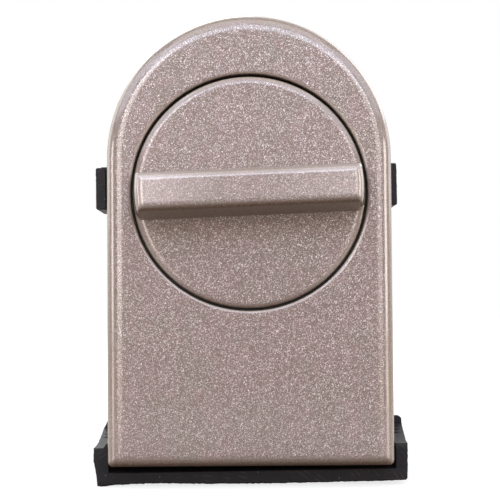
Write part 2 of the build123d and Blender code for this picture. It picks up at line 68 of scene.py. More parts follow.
# %% Named places
cover_low, cover_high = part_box("housing")
knob_low, knob_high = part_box("knob")
jaw_low, jaw_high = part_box("moving_jaw")
cover_front = cover_low.y
cover_half = cover_high.x
arch_centre_height = cover_high.z - cover_half
lock_middle = cover_high.z / 2
print("cover front at", round(cover_front / mm, 2), "mm, half width", round(cover_half / mm, 2), "mm")

# %% [markdown]
# ## Camera
# The photograph was taken close by, so the far parts look clearly smaller than the near ones.
# The distance, the height and the small upward tilt were found by fitting the corners of the
# cover, the ears and the tray. We could guess them by eye, but the ears show how deep they lie
# only when the distance is right. The object also leans a little to the left in the picture, so
# the camera is turned the other way about its own axis.

# %% Camera
camera_distance = 150 * mm
camera_height = 21.9 * mm
camera_side = 0.05 * mm
camera_pitch = math.radians(2.22)
camera_roll = math.radians(-0.42)
picture_size = 500
focal_pixels = 1290

camera_data = bpy.data.cameras.new("camera")
camera_data.sensor_width = 36
camera_data.lens = camera_data.sensor_width * focal_pixels / picture_size
camera_data.clip_start = 10 * mm
camera = bpy.data.objects.new("camera", camera_data)
bpy.context.scene.collection.objects.link(camera)
camera_place = Matrix.Translation((camera_side, cover_front - camera_distance, camera_height))
looking = Matrix.Rotation(math.pi / 2 + camera_pitch, 4, "X") @ Matrix.Rotation(camera_roll, 4, "Z")
camera.matrix_world = camera_place @ looking
bpy.context.scene.camera = camera
bpy.context.scene.view_settings.view_transform = "Standard"
print("lens", round(camera_data.lens, 2), "mm")

# %% [markdown]
# ## Small helpers for node trees
# A material is a graph, and a graph reads best when each line adds one node and says what feeds
# it. `add` makes a node, sets its options, and fills its inputs: a number or a colour is typed
# in, and another node's output is linked. We could drag the nodes about in the editor instead,
# but written down they can be read, repeated and changed.

# %% Add and fill nodes
def fill(tree, node, inputs):
    """Fill a node's inputs from a list of (socket name or number, value or output)."""
    for name, value in inputs:
        if isinstance(value, bpy.types.NodeSocket):
            tree.links.new(value, node.inputs[name])
        else:
            node.inputs[name].default_value = value


def add(tree, kind, inputs=(), **options):
    """Add a node to a tree, with its options and inputs."""
    made = tree.nodes.new(kind)
    for option, value in options.items():
        setattr(made, option, value)
    fill(tree, made, inputs)
    return made


def new_material(name):
    """An empty material with its shader, its output and its own coordinates."""
    material = bpy.data.materials.new(name)
    material.use_nodes = True
    tree = material.node_tree
    tree.nodes.clear()
    shader = add(tree, "ShaderNodeBsdfPrincipled")
    add(tree, "ShaderNodeOutputMaterial", [("Surface", shader.outputs[0])])
    place = add(tree, "ShaderNodeTexCoord").outputs["Object"]
    return material, tree, shader, place


def grey(level):
    """A neutral colour."""
    return (level, level, level, 1)


print("helpers for nodes are ready")

# %% Arithmetic with numbers and colours
def math_node(tree, operation, *values):
    """One arithmetic step, and its result."""
    return add(tree, "ShaderNodeMath", list(enumerate(values)), operation=operation).outputs[0]


def times(tree, first, second):
    """A product of two numbers. Masks are joined this way: it is 1 only where both are."""
    return math_node(tree, "MULTIPLY", first, second)


def remap(tree, value, low, high, to_low=0.0, to_high=1.0):
    """Stretch a value from one range to another, and clamp it."""
    made = add(tree, "ShaderNodeMapRange", [
        ("Value", value), ("From Min", low), ("From Max", high),
        ("To Min", to_low), ("To Max", to_high),
    ])
    return made.outputs["Result"]


def mix_colour(tree, factor, first, second):
    """Blend two colours by a factor."""
    sockets = [(0, factor), (6, first), (7, second)]
    return add(tree, "ShaderNodeMix", sockets, data_type="RGBA").outputs[2]


print("helpers for numbers and colours are ready")

# %% Arithmetic with vectors
def vector_node(tree, operation, *values):
    """One vector step. Its result is a vector, or a number for a length, distance or product."""
    made = add(tree, "ShaderNodeVectorMath", list(enumerate(values)), operation=operation)
    gives_number = operation in ("LENGTH", "DISTANCE", "DOT_PRODUCT")
    return made.outputs["Value" if gives_number else "Vector"]


def scaled(tree, vector, amount):
    """A vector made longer or shorter."""
    sockets = [(0, vector), ("Scale", amount)]
    return add(tree, "ShaderNodeVectorMath", sockets, operation="SCALE").outputs["Vector"]


def mix_vector(tree, factor, first, second):
    """Blend two vectors by a factor."""
    sockets = [(0, factor), (4, first), (5, second)]
    return add(tree, "ShaderNodeMix", sockets, data_type="VECTOR").outputs[1]


def along(tree, vector, axis):
    """One of a vector's three numbers."""
    return add(tree, "ShaderNodeSeparateXYZ", [(0, vector)]).outputs[axis]


print("helpers for vectors are ready")

# %% Surface direction and noise
towards_camera = (0, -1, 0)


def surface_normal(tree):
    """The way that the surface faces."""
    return add(tree, "ShaderNodeNewGeometry").outputs["Normal"]


def faces_front(tree, normal):
    """1 on surfaces that face the camera, and 0 on those that turn away."""
    return remap(tree, vector_node(tree, "DOT_PRODUCT", normal, towards_camera), 0.8, 0.95)


def noise_node(tree, place, scale, detail):
    """A soft random pattern from 0 to 1."""
    sockets = [("Vector", place), ("Scale", scale), ("Detail", detail)]
    return add(tree, "ShaderNodeTexNoise", sockets).outputs[0]


print("the camera lies towards", towards_camera)

# %% [markdown]
# ## White for the camera, dim for the lock
# The photograph has a pure white background. If white surroundings lit the lock as well, they
# would wash out the paint. So the world asks each ray what it is for: it is white to the camera
# and through glass, dim and warm for the light that falls on the lock, and in a reflection it is
# white behind the lock, where a backdrop would stand, and dim like a room before it.

# %% World
def seen_directly(tree, in_mirrors):
    """1 for rays from the camera and through glass, in_mirrors for reflections, 0 for others."""
    path = add(tree, "ShaderNodeLightPath").outputs
    mirrored = times(tree, path["Is Glossy Ray"], in_mirrors)
    seen = math_node(tree, "MAXIMUM", path["Is Camera Ray"], mirrored)
    return math_node(tree, "MAXIMUM", seen, path["Is Transmission Ray"])


fill_light = (0.075, 0.052, 0.033, 1)
room_in_mirrors = 0.15
room_ends, backdrop_starts = -0.1, 0.3
world = bpy.data.worlds.new("studio")
world.use_nodes = True
bpy.context.scene.world = world
sky = world.node_tree
sky.nodes.clear()
quiet = add(sky, "ShaderNodeBackground", [("Color", fill_light)])
white = add(sky, "ShaderNodeBackground", [("Color", grey(1))])
backwards = along(sky, add(sky, "ShaderNodeTexCoord").outputs["Generated"], "Y")
in_mirrors = remap(sky, backwards, room_ends, backdrop_starts, room_in_mirrors, 1)
choose = add(sky, "ShaderNodeMixShader", [
    (0, seen_directly(sky, in_mirrors)), (1, quiet.outputs[0]), (2, white.outputs[0]),
])
add(sky, "ShaderNodeOutputWorld", [("Surface", choose.outputs[0])])
print("fill light", fill_light[:3])

# %% [markdown]
# ## Floor
# The lock stands on white paper. The camera sees paper that glows nearly white by itself and
# takes the rest from the lamps. That rest is missing under the lock, so its soft shadow stays.
# Far off the paper is plain white. The lock's own light from below comes from a dim brown table,
# and its reflections see a pool of light in front of the lock, which keeps the foot of the face
# as bright as its middle. Beside the lock the table is glossy, so that the lines of light down
# the rims run on to the foot. A single white floor would be simpler, but it makes the foot of
# the painted face too bright and its rims too pale.

# %% Floor shape
floor_size = 4.0
floor_sunk = 0.02 * mm

floor_shape = bmesh.new()
bmesh.ops.create_grid(floor_shape, x_segments=1, y_segments=1, size=floor_size / 2)
floor_mesh = bpy.data.meshes.new("floor")
floor_shape.to_mesh(floor_mesh)
floor_shape.free()
floor = bpy.data.objects.new("floor", floor_mesh)
floor.location.z = -floor_sunk
bpy.context.scene.collection.objects.link(floor)
print("floor", floor_size, "m wide")

# %% Paper that the camera sees
paper_near, paper_far = 60 * mm, 160 * mm
glow_near, glow_far = 0.78, 1.0
paper_grey = 0.30

floor_paint = bpy.data.materials.new("floor_paper")
floor_paint.use_nodes = True
tree = floor_paint.node_tree
tree.nodes.clear()
place = add(tree, "ShaderNodeTexCoord").outputs["Object"]
distance = vector_node(tree, "LENGTH", place)
glow = remap(tree, distance, paper_near, paper_far, glow_near, glow_far)
lit = add(tree, "ShaderNodeBsdfDiffuse", [("Color", grey(paper_grey))])
own = add(tree, "ShaderNodeEmission", [("Color", grey(1)), ("Strength", glow)])
paper = add(tree, "ShaderNodeAddShader", [(0, lit.outputs[0]), (1, own.outputs[0])])
print("the paper glows", glow_near, "near the lock and", glow_far, "far off")

# %% Table that the lock sees
table_colour = (0.12, 0.062, 0.026, 1)
gloss_colour = (0.85, 0.78, 0.68, 1)
gloss_roughness = 0.1
gloss_starts, gloss_full = 20 * mm, 40 * mm
least_gloss, most_gloss = 0.2, 0.9

dim = add(tree, "ShaderNodeBsdfDiffuse", [("Color", table_colour)])
gloss = add(tree, "ShaderNodeBsdfGlossy", [("Color", gloss_colour), ("Roughness", gloss_roughness)])
sideways = math_node(tree, "ABSOLUTE", along(tree, place, "X"))
reflected = add(tree, "ShaderNodeLightPath").outputs["Is Glossy Ray"]
beside = times(tree, remap(tree, sideways, gloss_starts, gloss_full, least_gloss, most_gloss), reflected)
table = add(tree, "ShaderNodeMixShader", [(0, beside), (1, dim.outputs[0]), (2, gloss.outputs[0])])
print("the table is glossy from", round(gloss_full / mm), "mm to each side")

# %% Pool of light, and the floor put together
before_pool, in_pool, beyond_pool = 0.08, 0.55, 0.12
pool_starts, pool_full = 35 * mm, 50 * mm
pool_falls, pool_ends = 90 * mm, 170 * mm

rise = remap(tree, distance, pool_starts, pool_full, before_pool, in_pool)
fall = remap(tree, distance, pool_falls, pool_ends, in_pool, beyond_pool)
pool = math_node(tree, "MINIMUM", rise, fall)
floor_choice = add(tree, "ShaderNodeMixShader", [
    (0, seen_directly(tree, pool)), (1, table.outputs[0]), (2, paper.outputs[0]),
])
add(tree, "ShaderNodeOutputMaterial", [("Surface", floor_choice.outputs[0])])
floor_mesh.materials.append(floor_paint)
print("pool of light from", round(pool_full / mm), "to", round(pool_falls / mm), "mm")

# %% [markdown]
# ## Lamps
# The rounded rim shows what stands around the lock as thin lines, so the lamps stand where the
# photograph's lines say. Two small low ones at the left and right draw the outer lines. Two tall
# ones beside the camera and a wide one above it light the face, and they draw the second line,
# where the paint swells inside the rim. One overhead and two at the upper corners light the
# rounding of the arch and the top of the bar. Four weaker ones light the sides and the back.
# Each brightness was fitted: the lock was rendered under one lamp at a time, and the mixture
# that came nearest to the photograph's tones was kept.

# %% Lamps
def soft_lamp(name, azimuth, elevation, distance, width, height, brightness, tint):
    """A rectangle of light that faces the lock. Brightness is what a mirror would show."""
    data = bpy.data.lights.new(name, "AREA")
    data.color = tint
    data.shape = "RECTANGLE"
    data.size = width
    data.size_y = height
    data.energy = brightness * math.pi * width * height
    lamp = bpy.data.objects.new(name, data)
    turn, rise = math.radians(azimuth), math.radians(elevation)
    level = math.cos(rise)
    towards = Vector((math.sin(turn) * level, -math.cos(turn) * level, math.sin(rise)))
    aim = Vector((0, cover_front, lock_middle))
    facing = towards.to_track_quat("Z", "Y").to_matrix().to_4x4()
    lamp.matrix_world = Matrix.Translation(aim + distance * towards) @ facing
    lamp.visible_camera = False
    bpy.context.scene.collection.objects.link(lamp)


warm, rosy, cool, plain = (1, 0.95, 0.88), (1, 0.930, 0.86), (0.87, 0.96, 1.11), (1, 1, 1)
# Each row: name, azimuth and elevation in degrees, distance, width, height, brightness, tint
lamps = (
    ("lamp_left", -70, 5.5, 0.50, 0.10, 0.14, 6.2, warm),
    ("lamp_right", 65, 5.5, 0.50, 0.13, 0.14, 7.0, warm),
    ("lamp_face", -21.5, 11, 0.50, 0.19, 0.24, 3.7, rosy),
    ("lamp_face_right", 24, 11, 0.50, 0.20, 0.24, 2.45, rosy),
    ("lamp_above", 0, 31, 0.55, 0.56, 0.24, 3.2, cool),
    ("lamp_top", 0, 66, 0.55, 0.60, 0.35, 1.6, plain),
    ("lamp_upper_left", -60, 38, 0.55, 0.36, 0.30, 2.0, cool),
    ("lamp_upper_right", 60, 38, 0.55, 0.36, 0.30, 1.6, cool),
    ("lamp_side_left", -108, 22, 0.60, 0.36, 0.40, 1.6, plain),
    ("lamp_side_right", 108, 22, 0.60, 0.36, 0.40, 1.6, plain),
    ("lamp_back_left", 200, 40, 0.70, 0.40, 0.40, 2.6, plain),
    ("lamp_back_right", 130, 35, 0.70, 0.40, 0.40, 2.4, plain),
)
for row in lamps:
    soft_lamp(*row)
print("lamps:", [row[0] for row in lamps])

# %% [markdown]
# ## Paint with glitter
# The die-cast pieces wear a champagne metallic paint, full of tiny bright flakes. Modelling each
# flake would take millions of faces, so each one is a cell of a Voronoi pattern, less than a
# tenth of a millimetre across. The cell's own random number says how brightly the flake shines:
# a high power of it is small for most cells and near one for a few, which gives single bright
# grains on a darker ground. Seen flat the flakes sparkle most, and seen aslant the paint turns
# smooth and brown, so two more outputs say how aslant the surface is seen. Each flake also tilts
# the surface a little. The paint lays this pattern twice, at two sizes, so it is a node group.

# %% Node groups
def new_group(name, inputs, outputs):
    """A node group with named sockets. inputs is a list of (name, kind, default)."""
    group = bpy.data.node_groups.new(name, "ShaderNodeTree")
    for socket, kind, default in inputs:
        made = group.interface.new_socket(socket, in_out="INPUT", socket_type=kind)
        if default is not None:
            made.default_value = default
    for socket, kind in outputs:
        group.interface.new_socket(socket, in_out="OUTPUT", socket_type=kind)
    return group, add(group, "NodeGroupInput").outputs, add(group, "NodeGroupOutput")


def use_group(tree, group, **inputs):
    """Place a group in a material. Names with blanks are written with underscores."""
    made = add(tree, "ShaderNodeGroup", node_tree=group)
    fill(tree, made, [(name.replace("_", " "), value) for name, value in inputs.items()])
    return made.outputs


print("helpers for node groups are ready")

# %% Flake group
sparkle_power = 7.0
flakes, given, result = new_group(
    "paint_flakes",
    [("Place", "NodeSocketVector", None), ("Flake Size", "NodeSocketFloat", 0.15 * mm),
     ("Tilt", "NodeSocketFloat", 0.2), ("Base Normal", "NodeSocketVector", None)],
    [("Gleam", "NodeSocketFloat"), ("Flatness", "NodeSocketFloat"), ("Flop", "NodeSocketFloat"),
     ("Normal", "NodeSocketVector")],
)
density = math_node(flakes, "DIVIDE", 1.0, given["Flake Size"])
cell = add(flakes, "ShaderNodeTexVoronoi", [("Vector", given["Place"]), ("Scale", density)]).outputs
random_number = add(flakes, "ShaderNodeSeparateColor", [("Color", cell["Color"])]).outputs["Red"]
centred = vector_node(flakes, "SUBTRACT", cell["Color"], (0.5, 0.5, 0.5))
lean = scaled(flakes, centred, given["Tilt"])
tilted = vector_node(flakes, "ADD", given["Base Normal"], lean)
aslant = add(flakes, "ShaderNodeLayerWeight", [("Blend", 0.5)]).outputs["Facing"]
fill(flakes, result, [
    ("Gleam", math_node(flakes, "POWER", random_number, sparkle_power)),
    ("Flatness", remap(flakes, aslant, 0.06, 0.02)),
    ("Flop", remap(flakes, aslant, 0.03, 0.45)),
    ("Normal", vector_node(flakes, "NORMALIZE", tilted)),
])
print("group", flakes.name, "has", len(flakes.nodes), "nodes")

# %% [markdown]
# ## The gap round the knob
# The knob turns in a recess, with a gap of about a quarter of a millimetre round it. Hardly any
# light gets out of so narrow a gap, and in the photograph it is a thin black line. The renderer
# would find some gleam in it, so a mask paints its walls black below their rounded edges. The
# mask is a thin tube about the knob's axis, and it ends with the recess, so that the rear jaw,
# which wears the same paint, gets no ring.

# %% The gap round the knob
knob_radius = (knob_high.x - knob_low.x) / 2
knob_axis = ((knob_low.x + knob_high.x) / 2, 0, (knob_low.z + knob_high.z) / 2)
gap_middle = knob_radius + 0.14 * mm
gap_fades, gap_full = 0.30 * mm, 0.20 * mm
black_starts, black_full = cover_front + 0.9 * mm, cover_front + 1.4 * mm
recess_ends = knob_high.y + 0.5 * mm


def from_knob_axis(tree, place):
    """The way out from the knob's axis, and how far it is."""
    spoke = vector_node(tree, "MULTIPLY", vector_node(tree, "SUBTRACT", place, knob_axis), (1, 0, 1))
    return spoke, vector_node(tree, "LENGTH", spoke)


def distance_off_gap(tree, reach):
    """How far a point lies inside or outside the middle of the gap."""
    return math_node(tree, "ABSOLUTE", math_node(tree, "SUBTRACT", reach, gap_middle))


def inside_gap(tree, place):
    """1 on the walls of the narrow gap round the knob, below its rounded edges, and 0 elsewhere."""
    reach = from_knob_axis(tree, place)[1]
    near_gap = remap(tree, distance_off_gap(tree, reach), gap_fades, gap_full)
    depth = along(tree, place, "Y")
    below_edge = remap(tree, depth, black_starts, black_full)
    in_recess = remap(tree, depth, recess_ends, recess_ends + 0.2 * mm, 1, 0)
    return times(tree, near_gap, times(tree, below_edge, in_recess))


print("knob radius", round(knob_radius / mm, 2), "mm, its axis at height", round(knob_axis[2] / mm, 2))

# %% [markdown]
# ## The paint along the rims
# Paint draws back from a sharp edge and swells a little inside it, so the flat faces bend
# outwards just before the rounded rims. In the photograph that gives a second pale band beside
# the rim, on the cover and on the knob. The swelling is only a few hundredths of a millimetre
# high, so we tilt the direction that the surface faces and leave its shape alone. The edges
# beside the gap are filled with paint and look softer than the casting, so there the direction
# is turned part of the way to the front.

# %% The paint along the rims
swelling_slope = 0.17
cover_swelling = 1.95 * mm, 1.27 * mm
knob_swelling = 1.05 * mm, 0.55 * mm
fill_starts, fill_full, fill_amount = 0.9 * mm, 0.5 * mm, 0.5


def swelling(tree, spoke, reach, rim, start, end):
    """A push outwards along a spoke, rising from the start to the end distance inside a rim."""
    amount = remap(tree, reach, rim - start, rim - end, 0, swelling_slope)
    return scaled(tree, vector_node(tree, "NORMALIZE", spoke), amount)


def cover_push(tree, place):
    """The swelling inside the cover's rim: away from the arch's centre, and sideways below it."""
    from_centre = vector_node(tree, "SUBTRACT", place, (0, 0, arch_centre_height))
    height = math_node(tree, "MAXIMUM", along(tree, from_centre, "Z"), 0.0)
    sideways = along(tree, from_centre, "X")
    spoke = add(tree, "ShaderNodeCombineXYZ", [("X", sideways), ("Z", height)]).outputs[0]
    return swelling(tree, spoke, vector_node(tree, "LENGTH", spoke), cover_half, *cover_swelling)


def edge_swelling(tree, place):
    """The way that the swollen paint faces, inside the cover's and the knob's rims."""
    spoke, reach = from_knob_axis(tree, place)
    depth = along(tree, place, "Y")
    behind_bar = remap(tree, depth, cover_front - 0.6 * mm, cover_front - 0.4 * mm)
    on_knob = remap(tree, reach, knob_radius + 0.1 * mm, knob_radius + 0.12 * mm, 1, 0)
    knob_push = swelling(tree, spoke, reach, knob_radius, *knob_swelling)
    push = mix_vector(tree, times(tree, on_knob, behind_bar), cover_push(tree, place), knob_push)

    filled = remap(tree, distance_off_gap(tree, reach), fill_starts, fill_full, 0, fill_amount)
    at_face = remap(tree, depth, cover_front + 0.45 * mm, cover_front + 0.25 * mm)
    filled = times(tree, filled, times(tree, at_face, behind_bar))
    normal = mix_vector(tree, filled, surface_normal(tree), towards_camera)
    push = scaled(tree, push, faces_front(tree, normal))
    return vector_node(tree, "NORMALIZE", vector_node(tree, "ADD", normal, push))


print("the cover's paint swells", cover_swelling[1] / mm, "mm inside its rim")

# %% [markdown]
# ## Where fingers rub
# The bar is what fingers turn, and its front is brighter than the rest of the knob, most of all
# at its left end. A picture of the wear could be painted on, but a mask from the place on the
# bar does the same: it is 0 on the plate, rises to the front of the bar, and grows to the ends.

# %% Finger wear
wear_starts, wear_full = knob_low.y + 1.1 * mm, knob_low.y + 0.3 * mm
middle_wear, left_end_wear = 0.35, 0.5


def finger_wear(tree, place):
    """How much fingers have brightened the front of the bar, most towards its ends."""
    sideways = along(tree, place, "X")
    front = remap(tree, along(tree, place, "Y"), wear_starts, wear_full)
    upward = along(tree, surface_normal(tree), "Z")
    not_below = remap(tree, upward, -0.3, 0.0)
    ends = remap(tree, math_node(tree, "ABSOLUTE", sideways), 3 * mm, 11 * mm, middle_wear, 1)
    left_end = remap(tree, sideways, -4 * mm, -11 * mm, 0, left_end_wear)
    return times(tree, times(tree, front, not_below), math_node(tree, "ADD", ends, left_end))


print("wear starts", round((wear_starts - knob_low.y) / mm, 2), "mm behind the bar's front")

# %% [markdown]
# ## The paint itself
# The ground is a metallic brown whose tone drifts between three mixtures over a few millimetres.
# It turns browner where it is seen aslant. On undersides it is painted a dark umber and its clear
# coat is thinned. That is painted shade, for the light that doesn't reach them from below.
# Two sizes of flakes lie on it. A clear coat lies on top, and its reflections draw the lines along
# the rims. A plain metallic material with a noise for its colour is quicker to make, but it
# neither sparkles nor turns brown at the edges as this paint does.

# %% Ground tones
def paint_ground(tree, place, flop, underside_shade):
    """The colour under the flakes, darkened to umber on undersides as painted shade."""
    dark_tone = (0.208, 0.142, 0.129, 1)
    pink_tone = (0.242, 0.157, 0.151, 1)
    green_tone = (0.194, 0.146, 0.120, 1)
    brown_tone = (0.190, 0.125, 0.078, 1)
    # Painted shade: the umber that undersides turn to, where less light falls on them.
    umber_shade_tone = (0.105, 0.055, 0.020, 1)
    cloud = noise_node(tree, place, 190, 3)
    drift = noise_node(tree, place, 620, 2)
    ground = mix_colour(tree, remap(tree, cloud, 0.45, 0.68), dark_tone, green_tone)
    ground = mix_colour(tree, remap(tree, drift, 0.5, 0.75), ground, pink_tone)
    ground = mix_colour(tree, flop, ground, brown_tone)
    return mix_colour(tree, underside_shade, ground, umber_shade_tone)


print("the ground has five tones, from dark to umber")

# %% Bright grains
fine_flake, fine_tilt = 0.078 * mm, 0.22
coarse_flake, coarse_tilt = 0.16 * mm, 0.1


def bright_grains(tree, fine, coarse, wear):
    """How much bright flake shows: single grains where the paint is seen flat, a haze elsewhere."""
    fine_share, coarse_share = 0.85, 0.15
    haze = 0.11
    worn_haze = 0.13
    grains = math_node(tree, "ADD", times(tree, fine["Gleam"], fine_share),
                       times(tree, coarse["Gleam"], coarse_share))
    contrast = remap(tree, fine["Flatness"], 0, 1, 0.3, 0.88)
    contrast = times(tree, contrast, remap(tree, wear, 0, 0.35, 1, 0.7))
    grains = math_node(tree, "SUBTRACT", grains, haze)
    grains = math_node(tree, "MULTIPLY_ADD", grains, contrast, haze)
    return math_node(tree, "MULTIPLY_ADD", wear, worn_haze, grains)


print("flakes of", fine_flake / mm, "and", coarse_flake / mm, "mm")

# %% Champagne paint
def champagne_paint():
    """The paint of the cover, the knob and the rear jaw, with one dark pit at the cover's edge."""
    pit_place = Vector((15.93 * mm, cover_front + 0.28 * mm, 12.98 * mm))
    pit_radius = 0.13 * mm
    bright_tone = (1.0, 0.92, 0.93, 1)

    material, tree, shader, place = new_material("champagne_paint")
    swollen = edge_swelling(tree, place)
    flake_inputs = {"Place": place, "Base_Normal": swollen}
    fine = use_group(tree, flakes, Flake_Size=fine_flake, Tilt=fine_tilt, **flake_inputs)
    coarse = use_group(tree, flakes, Flake_Size=coarse_flake, Tilt=coarse_tilt, **flake_inputs)
    # Undersides get painted shade: an umber ground and a thinner clear coat.
    underside_shade = remap(tree, along(tree, surface_normal(tree), "Z"), -0.3, -0.95)
    ground = paint_ground(tree, place, fine["Flop"], underside_shade)
    grains = bright_grains(tree, fine, coarse, finger_wear(tree, place))
    colour = mix_colour(tree, grains, ground, bright_tone)
    pit = remap(tree, vector_node(tree, "DISTANCE", place, pit_place), pit_radius, 0.6 * pit_radius)
    colour = mix_colour(tree, pit, colour, grey(0.01))
    colour = mix_colour(tree, inside_gap(tree, place), colour, grey(0.012))
    fill(tree, shader, [
        ("Base Color", colour), ("Normal", fine["Normal"]),
        ("Metallic", remap(tree, grains, 0, 1, 0.22, 0.9)), ("Roughness", 0.42),
        ("Coat Weight", remap(tree, underside_shade, 0, 1, 1, 0.3)), ("Coat Normal", swollen),
        ("Coat IOR", 1.75), ("Coat Roughness", 0.12),
    ])
    return material


champagne = champagne_paint()
print("made", champagne.name, "with", len(champagne.node_tree.nodes), "nodes")

# %% [markdown]
# ## Grain group
# Moulded and cast surfaces are never quite smooth. This group gives a fine grain and a slower
# waviness as one height, and a mask of small light specks, where dust and rubbed spots catch
# light. Nylon, rubber and metal all use it at their own scale, so it is a node group.

# %% Grain group
slow_share, speck_share = 0.12, 0.4
speck_rarity = 0.975
grain, given, result = new_group(
    "surface_grain",
    [("Place", "NodeSocketVector", None), ("Grain Size", "NodeSocketFloat", 0.2 * mm),
     ("Waviness", "NodeSocketFloat", 0.5)],
    [("Height", "NodeSocketFloat"), ("Specks", "NodeSocketFloat"), ("Patches", "NodeSocketFloat")],
)
density = math_node(grain, "DIVIDE", 1.0, given["Grain Size"])
fine_noise = noise_node(grain, given["Place"], density, 3)
slow_noise = noise_node(grain, given["Place"], times(grain, density, slow_share), 2)
height = math_node(grain, "ADD", fine_noise, times(grain, slow_noise, given["Waviness"]))
speck_cell = add(grain, "ShaderNodeTexVoronoi", [
    ("Vector", given["Place"]), ("Scale", times(grain, density, speck_share)),
]).outputs
random_number = add(grain, "ShaderNodeSeparateColor", [("Color", speck_cell["Color"])]).outputs["Red"]
rare = math_node(grain, "GREATER_THAN", random_number, speck_rarity)
dots = remap(grain, speck_cell["Distance"], 0.22, 0.12)
fill(grain, result, [("Height", height), ("Specks", times(grain, rare, dots)), ("Patches", slow_noise)])
print("group", grain.name, "has", len(grain.nodes), "nodes")

# %% [markdown]
# ## Black nylon
# The jaw is moulded in black nylon, and a cutter trimmed it across its front, which left long
# faint arcs on the face. Grooves that fine would need a very dense mesh, so they are colour and
# bump: the distance from a far centre gives the arcs, and a noise breaks them up.

# %% Cutter's arcs
def cutter_arcs(tree, place):
    """Faint broken arcs round a far centre, on the faces that look forward."""
    arc_centre = (-6 * mm, jaw_low.y, -16 * mm)
    arc_pitch = 0.55 * mm
    away = vector_node(tree, "DISTANCE", place, arc_centre)
    rings = math_node(tree, "SINE", times(tree, away, math.tau / arc_pitch))
    broken = noise_node(tree, place, 700, 2)
    arcs = times(tree, remap(tree, rings, 0.55, 1.0), remap(tree, broken, 0.5, 0.62))
    return times(tree, arcs, faces_front(tree, surface_normal(tree)))


print("the arcs lie on the tray's front, at", round(jaw_low.y / mm, 2), "mm")

# %% Black nylon
def black_nylon():
    """The moving jaw's moulded nylon, with the cutter's arcs on the faces that look forward."""
    blue_black, red_black = (0.009, 0.009, 0.012, 1), (0.015, 0.012, 0.015, 1)
    arc_colour, speck_colour = (0.09, 0.09, 0.095, 1), grey(0.20)
    material, tree, shader, place = new_material("black_nylon")
    rough = use_group(tree, grain, Place=place, Grain_Size=0.16 * mm, Waviness=0.6)
    arcs = cutter_arcs(tree, place)
    colour = mix_colour(tree, remap(tree, rough["Patches"], 0.35, 0.7), blue_black, red_black)
    colour = mix_colour(tree, remap(tree, arcs, 0, 1, 0, 0.25), colour, arc_colour)
    colour = mix_colour(tree, remap(tree, rough["Specks"], 0, 1, 0, 0.5), colour, speck_colour)
    height = math_node(tree, "ADD", rough["Height"], times(tree, arcs, 0.8))
    bump = [("Strength", 0.35), ("Distance", 0.03 * mm), ("Height", height)]
    fill(tree, shader, [
        ("Base Color", colour), ("Normal", add(tree, "ShaderNodeBump", bump).outputs[0]),
        ("Roughness", 0.5), ("Specular IOR Level", 0.26),
    ])
    return material


nylon = black_nylon()
print("made", nylon.name)

# %% [markdown]
# ## Rubber, steel, pale nylon and bare casting
# These finishes show from behind, from below and through the slot: ribbed rubber pads, zinc
# plated screws, spring wire, the knob's bush and the cast cam. Each could have a graph of its
# own, but they differ only in numbers, so they share one recipe: a base colour, a second tone in
# patches, some grain, and a roughness of their own.

# %% Plain finishes
def plain_finish(name, first, second, metallic, roughness, grain_size, bump_depth):
    """A two-tone finish with grain."""
    material, tree, shader, place = new_material(name)
    rough = use_group(tree, grain, Place=place, Grain_Size=grain_size, Waviness=0.4)
    colour = mix_colour(tree, remap(tree, rough["Patches"], 0.35, 0.65), (*first, 1), (*second, 1))
    bump = [("Strength", 0.3), ("Distance", bump_depth), ("Height", rough["Height"])]
    fill(tree, shader, [
        ("Base Color", colour), ("Normal", add(tree, "ShaderNodeBump", bump).outputs[0]),
        ("Roughness", remap(tree, rough["Patches"], 0.3, 0.7, 0.85 * roughness, 1.15 * roughness)),
        ("Metallic", metallic),
    ])
    return material


# Each row: name, base colour, second tone, metallic, roughness, grain size, bump depth
plain_rows = (
    ("black_rubber", (0.020, 0.020, 0.021), (0.034, 0.033, 0.033), 0.0, 0.75, 0.22 * mm, 0.03 * mm),
    ("zinc_steel", (0.60, 0.61, 0.63), (0.50, 0.52, 0.55), 1.0, 0.30, 0.15 * mm, 0.004 * mm),
    ("spring_wire", (0.46, 0.46, 0.47), (0.38, 0.37, 0.37), 1.0, 0.28, 0.12 * mm, 0.004 * mm),
    ("bush_nylon", (0.72, 0.69, 0.60), (0.66, 0.63, 0.54), 0.0, 0.45, 0.25 * mm, 0.01 * mm),
    ("bare_casting", (0.42, 0.43, 0.44), (0.34, 0.35, 0.36), 0.9, 0.48, 0.3 * mm, 0.02 * mm),
)
rubber, zinc, spring_wire, bush_nylon, casting = [plain_finish(*row) for row in plain_rows]
print("made", [row[0] for row in plain_rows])

# %% Give each piece its finish
finishes = {
    champagne: ["housing", "knob", "rear_jaw"],
    rubber: ["jaw_grip_pad", "rear_grip_pad"],
    zinc: ["spindle", "stop_pin", "cam_washer", "cam_screw"],
    spring_wire: ["spring_washer"],
    bush_nylon: ["knob_bush"],
    casting: ["cam"],
}
for side in ("left", "right"):
    finishes[zinc] += [f"guide_screw_{side}", f"guide_sleeve_{side}", f"rear_jaw_screw_{side}"]
for finish, names in finishes.items():
    for name in names:
        mesh = nodes[name].data
        mesh.materials.clear()
        mesh.materials.append(finish)
print("dressed", sum(len(names) for names in finishes.values()), "pieces")

# %% [markdown]
# ## The moulded jaw and its trimmed edges
# The black jaw came out of its mould with flash, and a knife took that off, so its outer edges
# waver by a few hundredths of a millimetre and are slightly broken. A bump map can't change an
# outline, so here the mesh itself changes. The model's own mesh is copied and its small
# triangles are joined. Planes then cut new points into the edges of the tray and the ears,
# closely spaced, because the wavering needs points to move.

